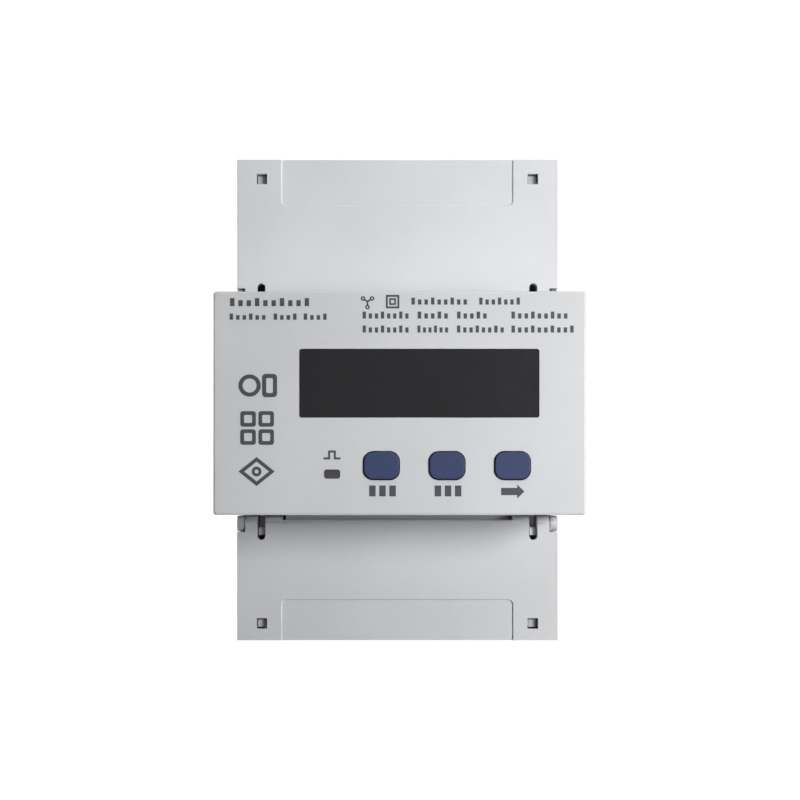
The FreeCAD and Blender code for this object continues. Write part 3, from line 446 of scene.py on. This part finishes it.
def print_button_signs():
    """Pulse sign over the light, and a mark under each button."""
    x, z = middle("pulse_light_pipe").x / MM, PULSE_Z
    pulse = [(x - 1.63, z - 0.47), (x - 0.75, z - 0.47), (x - 0.75, z + 0.87), (x + 0.75, z + 0.87),
             (x + 0.75, z - 0.47), (x + 1.63, z - 0.47), (x + 1.63, z - 0.87), (x + 0.35, z - 0.87),
             (x + 0.35, z + 0.47), (x - 0.35, z + 0.47), (x - 0.35, z - 0.87), (x - 1.63, z - 0.87)]
    printed("pulse_sign", [[pulse]])
    for name in ("set_button", "esc_button"):
        x = middle(name).x / MM + LABEL_SHIFT
        printed(f"{name}_label", [[rectangle(x + offset, LABEL_Z, 1.25, 2.1)] for offset in (-1.95, 0, 1.95)])
    x, z = middle("next_button").x / MM, ARROW_Z
    arrow = [(x - 2.2, z - 0.7), (x + 0.9, z - 0.7), (x + 0.9, z - 1.35), (x + 2.3, z),
             (x + 0.9, z + 1.35), (x + 0.9, z + 0.7), (x - 2.2, z + 0.7)]
    printed("arrow_sign", [[arrow]])


# --- compression spring with closed end turns ------------------------------------------

SPRING_WIRE = 0.3 * MM
SPRING_TURNS = 8
CLOSED_TURNS = 1
STEPS_PER_TURN = 24


def spring_climbs():
    """Height between the end turns' middles, and the climb of each step; the end turns almost touch."""
    low, high = corners("clip_spring")
    height = high.z - low.z - 2 * SPRING_WIRE
    closed_step = 2.1 * SPRING_WIRE / STEPS_PER_TURN
    count = SPRING_TURNS * STEPS_PER_TURN
    turns = [i / STEPS_PER_TURN for i in range(count + 1)]
    closed = [min(turn, SPRING_TURNS - turn) < CLOSED_TURNS for turn in turns]
    tight = sum(closed_step for is_closed in closed if is_closed)
    open_step = (height - tight) / closed.count(False)
    return height, [closed_step if is_closed else open_step for is_closed in closed]


def spring():
    """Compression spring with closed end turns, in the place of the model's plain helix."""
    low, high = corners("clip_spring")
    centre = (low + high) / 2
    radius = (high.x - low.x) / 2 - SPRING_WIRE
    height, climbs = spring_climbs()
    curve = bpy.data.curves.new("spring_curve", "CURVE")
    curve.dimensions = "3D"
    curve.bevel_depth = SPRING_WIRE
    curve.bevel_resolution = 3
    line = curve.splines.new("POLY")
    line.points.add(len(climbs) - 1)
    climbed = 0.0
    for i, climb in enumerate(climbs):
        angle = 2 * math.pi * i / STEPS_PER_TURN
        line.points[i].co = (centre.x + radius * math.cos(angle), centre.y + radius * math.sin(angle),
                             low.z + SPRING_WIRE + min(climbed, height), 1)
        climbed += climb
    made = bpy.data.objects.new("compression_spring", curve)
    mesh = bpy.data.meshes.new_from_object(made)
    bpy.data.objects.remove(made)
    for face in mesh.polygons:
        face.use_smooth = True
    piece = new_piece("compression_spring", mesh, MATERIALS["steel"], "housing")
    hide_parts("clip_spring")
    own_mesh(piece)


# --- studio ----------------------------------------------------------------------------

def glow(name, strength):
    """Pale surface that gives off light."""
    material = bpy.data.materials.new(name)
    material.use_nodes = True
    shader = material.node_tree.nodes["Principled BSDF"]
    shader.inputs["Base Color"].default_value = (0.9, 0.9, 0.9, 1)
    shader.inputs["Emission Color"].default_value = (1, 1, 1, 1)
    shader.inputs["Emission Strength"].default_value = strength
    return material


FLOOR_DROP = 0.5


def seen_only(piece):
    """Show a piece to the camera, but keep it out of the light on the meter."""
    piece.visible_diffuse = False
    piece.visible_glossy = False
    piece.visible_transmission = False
    piece.visible_shadow = False


def stage():
    """Pale floor well below the meter, which hangs on a rail in use, and a pale shell round everything."""
    bpy.ops.mesh.primitive_plane_add(size=6, location=(0, 0, cad_box[0][2] - FLOOR_DROP))
    floor = bpy.context.object
    floor.name = "floor"
    floor.data.materials.append(glow("pale_floor", 1.0))
    bpy.ops.mesh.primitive_uv_sphere_add(radius=3.2, location=(0, 0, 0), segments=48, ring_count=24)
    shell = bpy.context.object
    shell.name = "backdrop"
    shell.data.materials.append(glow("pale_backdrop", 1.0))
    seen_only(shell)
    seen_only(floor)


def lamp(name, place, aim, size, power):
    """Round lamp, unseen by the camera, that faces a point; size in metres, power in watts."""
    data = bpy.data.lights.new(name, "AREA")
    data.shape = "DISK"
    data.size = size
    data.energy = power
    made = bpy.data.objects.new(name, data)
    bpy.context.collection.objects.link(made)
    made.location = place
    made.rotation_euler = (Vector(aim) - Vector(place)).to_track_quat("-Z", "Y").to_euler()
    made.visible_camera = False


def lights():
    """Three lamps in front, two behind for the back and sides, and one below."""
    middle_front = (0, -0.04, 0)
    lamp("key", (0.26, -0.30, 0.03), middle_front, 0.16, 1.37)
    lamp("top_panel", (0.05, -0.22, 0.42), middle_front, 0.3, 0.82)
    lamp("low_panel", (0.16, -0.30, -0.04), middle_front, 0.16, 0.12)
    lamp("left_rear", (-0.50, 0.22, 0.20), (0, 0, 0), 0.4, 3.5)
    lamp("right_rear", (0.15, 0.50, 0.25), (0, 0, 0), 0.4, 1.9)
    lamp("under_panel", (0.0, 0.18, -0.48), (0, 0, 0), 0.4, 2.2)
    world = bpy.data.worlds.new("studio")
    world.use_nodes = True
    background = world.node_tree.nodes["Background"]
    background.inputs["Color"].default_value = (0.97, 0.985, 1, 1)
    background.inputs["Strength"].default_value = 0.05
    bpy.context.scene.world = world


CAMERA_PLACE = Vector((-6.1 * MM, BEZEL_FRONT - 252 * MM, -18.7 * MM))


def camera():
    """Close view from the front, a little left of and below the middle, shifted to centre."""
    data = bpy.data.cameras.new("camera")
    data.lens = 58.74
    data.sensor_width = 36
    data.shift_x = 0.04
    data.shift_y = 0.125
    data.clip_start = 0.01
    made = bpy.data.objects.new("camera", data)
    bpy.context.collection.objects.link(made)
    made.location = CAMERA_PLACE
    made.rotation_euler = (math.pi / 2, 0, 0)
    bpy.context.scene.camera = made
    bpy.context.scene.view_settings.view_transform = "Standard"


dress_frame()
soften_edges()
print_rows()
print_signs()
print_button_signs()
spring()
stage()
lights()
camera()
